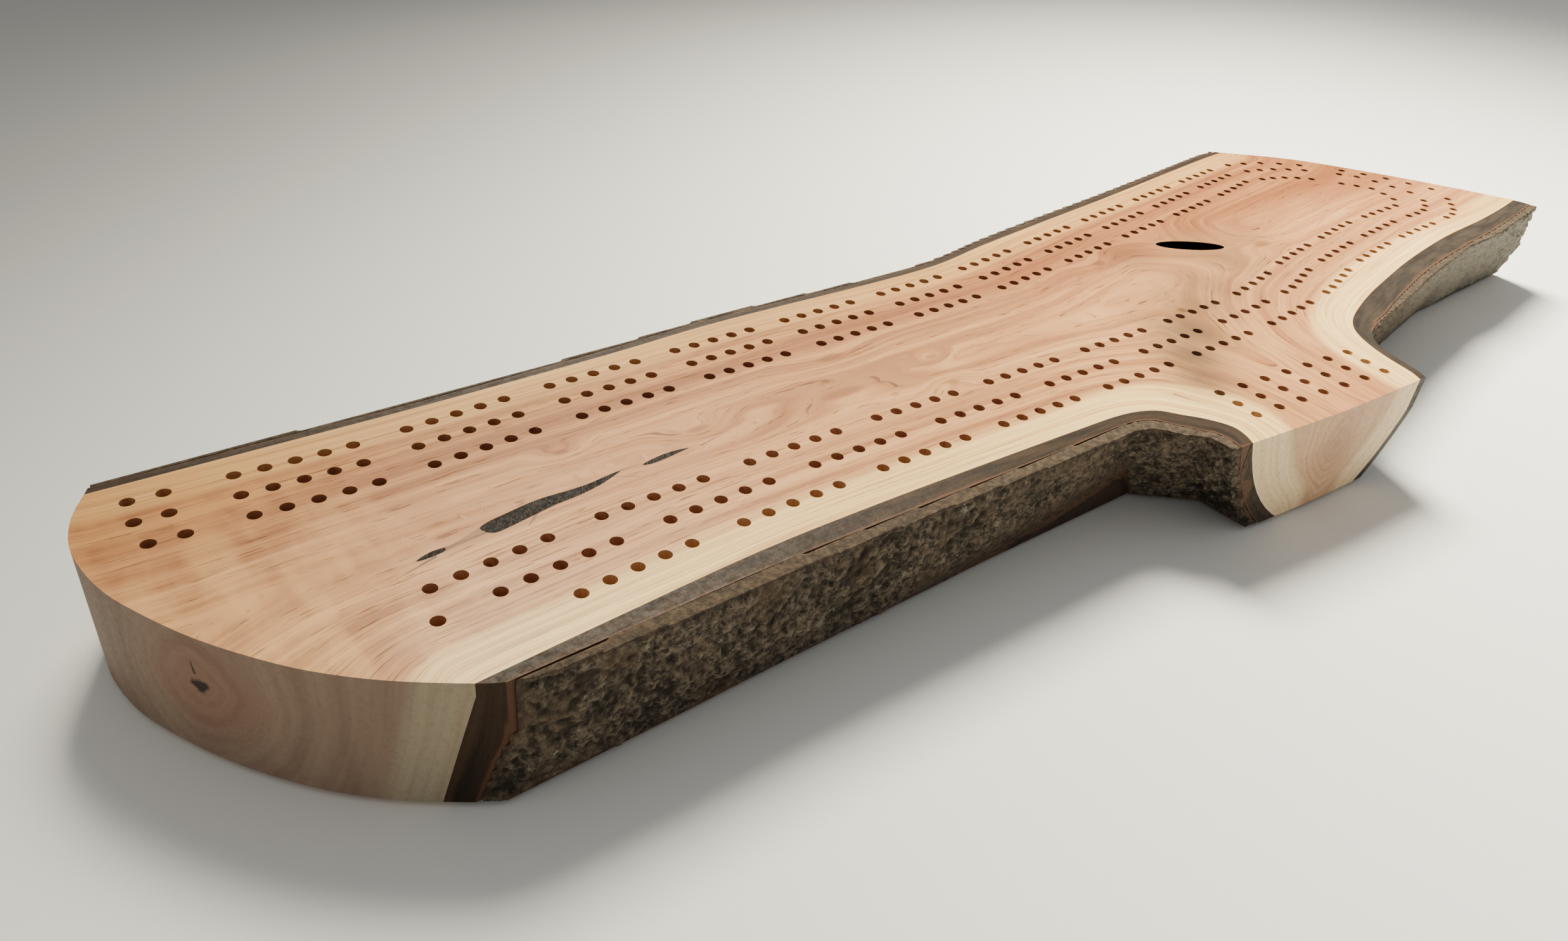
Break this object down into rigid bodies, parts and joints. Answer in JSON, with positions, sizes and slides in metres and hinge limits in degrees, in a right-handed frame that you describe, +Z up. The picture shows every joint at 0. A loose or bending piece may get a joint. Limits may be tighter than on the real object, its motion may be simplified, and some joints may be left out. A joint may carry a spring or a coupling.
{
  "type": "cribbage board",
  "caption": "Live-edge hardwood cribbage board for three players with bark edges, a branch stub, drilled lanes and a swivel-covered peg store underneath.",
  "frame": {"origin": "middle of the board's bounding box in plan, at the plane the pads stand on", "axes": "+X along the board from its rounded near end to its slanted far end, -Y towards the side with the branch stub, +Z up out of the playing face"},
  "size_m": [0.554, 0.165, 0.0336],
  "materials": {
    "timber": "planed pinkish-tan hardwood with cream sapwood, thin satin oil finish",
    "inner_bark": "sanded smooth grey-brown inner bark, satin",
    "outer_bark": "rough crusty natural bark with lichen specks, matte",
    "dark_fill": "dark cross-hatched ingrown bark set in filler, sanded flush",
    "knot": "tight dark brown knot with near-black ends, sanded flush",
    "pad": "matte black stick-on rubber",
    "brass": "brushed brass sheet and screw",
    "peg_red": "turned wood stained red, satin",
    "peg_blue": "turned wood stained blue, satin",
    "peg_green": "turned wood stained green, satin"
  },
  "bodies": {
    "board": {"slab": "timber", "front_inner_bark": "inner_bark", "front_outer_bark": "outer_bark", "far_inner_bark": "inner_bark", "far_outer_bark": "outer_bark", "rear_inner_bark": "inner_bark", "rear_outer_bark": "outer_bark", "crack_fill": "dark_fill", "eye_knot": "knot", "pad_near_rear": "pad", "pad_near_front": "pad", "pad_stub": "pad", "pad_far_front": "pad", "pad_far_rear": "pad", "cover_screw": "brass", "peg_red_a": "peg_red", "peg_red_b": "peg_red", "peg_red_c": "peg_red", "peg_blue_a": "peg_blue", "peg_blue_b": "peg_blue", "peg_blue_c": "peg_blue", "peg_green_a": "peg_green", "peg_green_b": "peg_green", "peg_green_c": "peg_green"},
    "cover": {"store_cover": "brass"}
  },
  "joints": [
    {"name": "cover_swivel", "type": "hinge", "parent": "board", "child": "cover", "pos_m": [0.0579, -0.01095, 0.00125], "axis": [0, 0, 1], "range_deg": [-120, 34]}
  ]
}
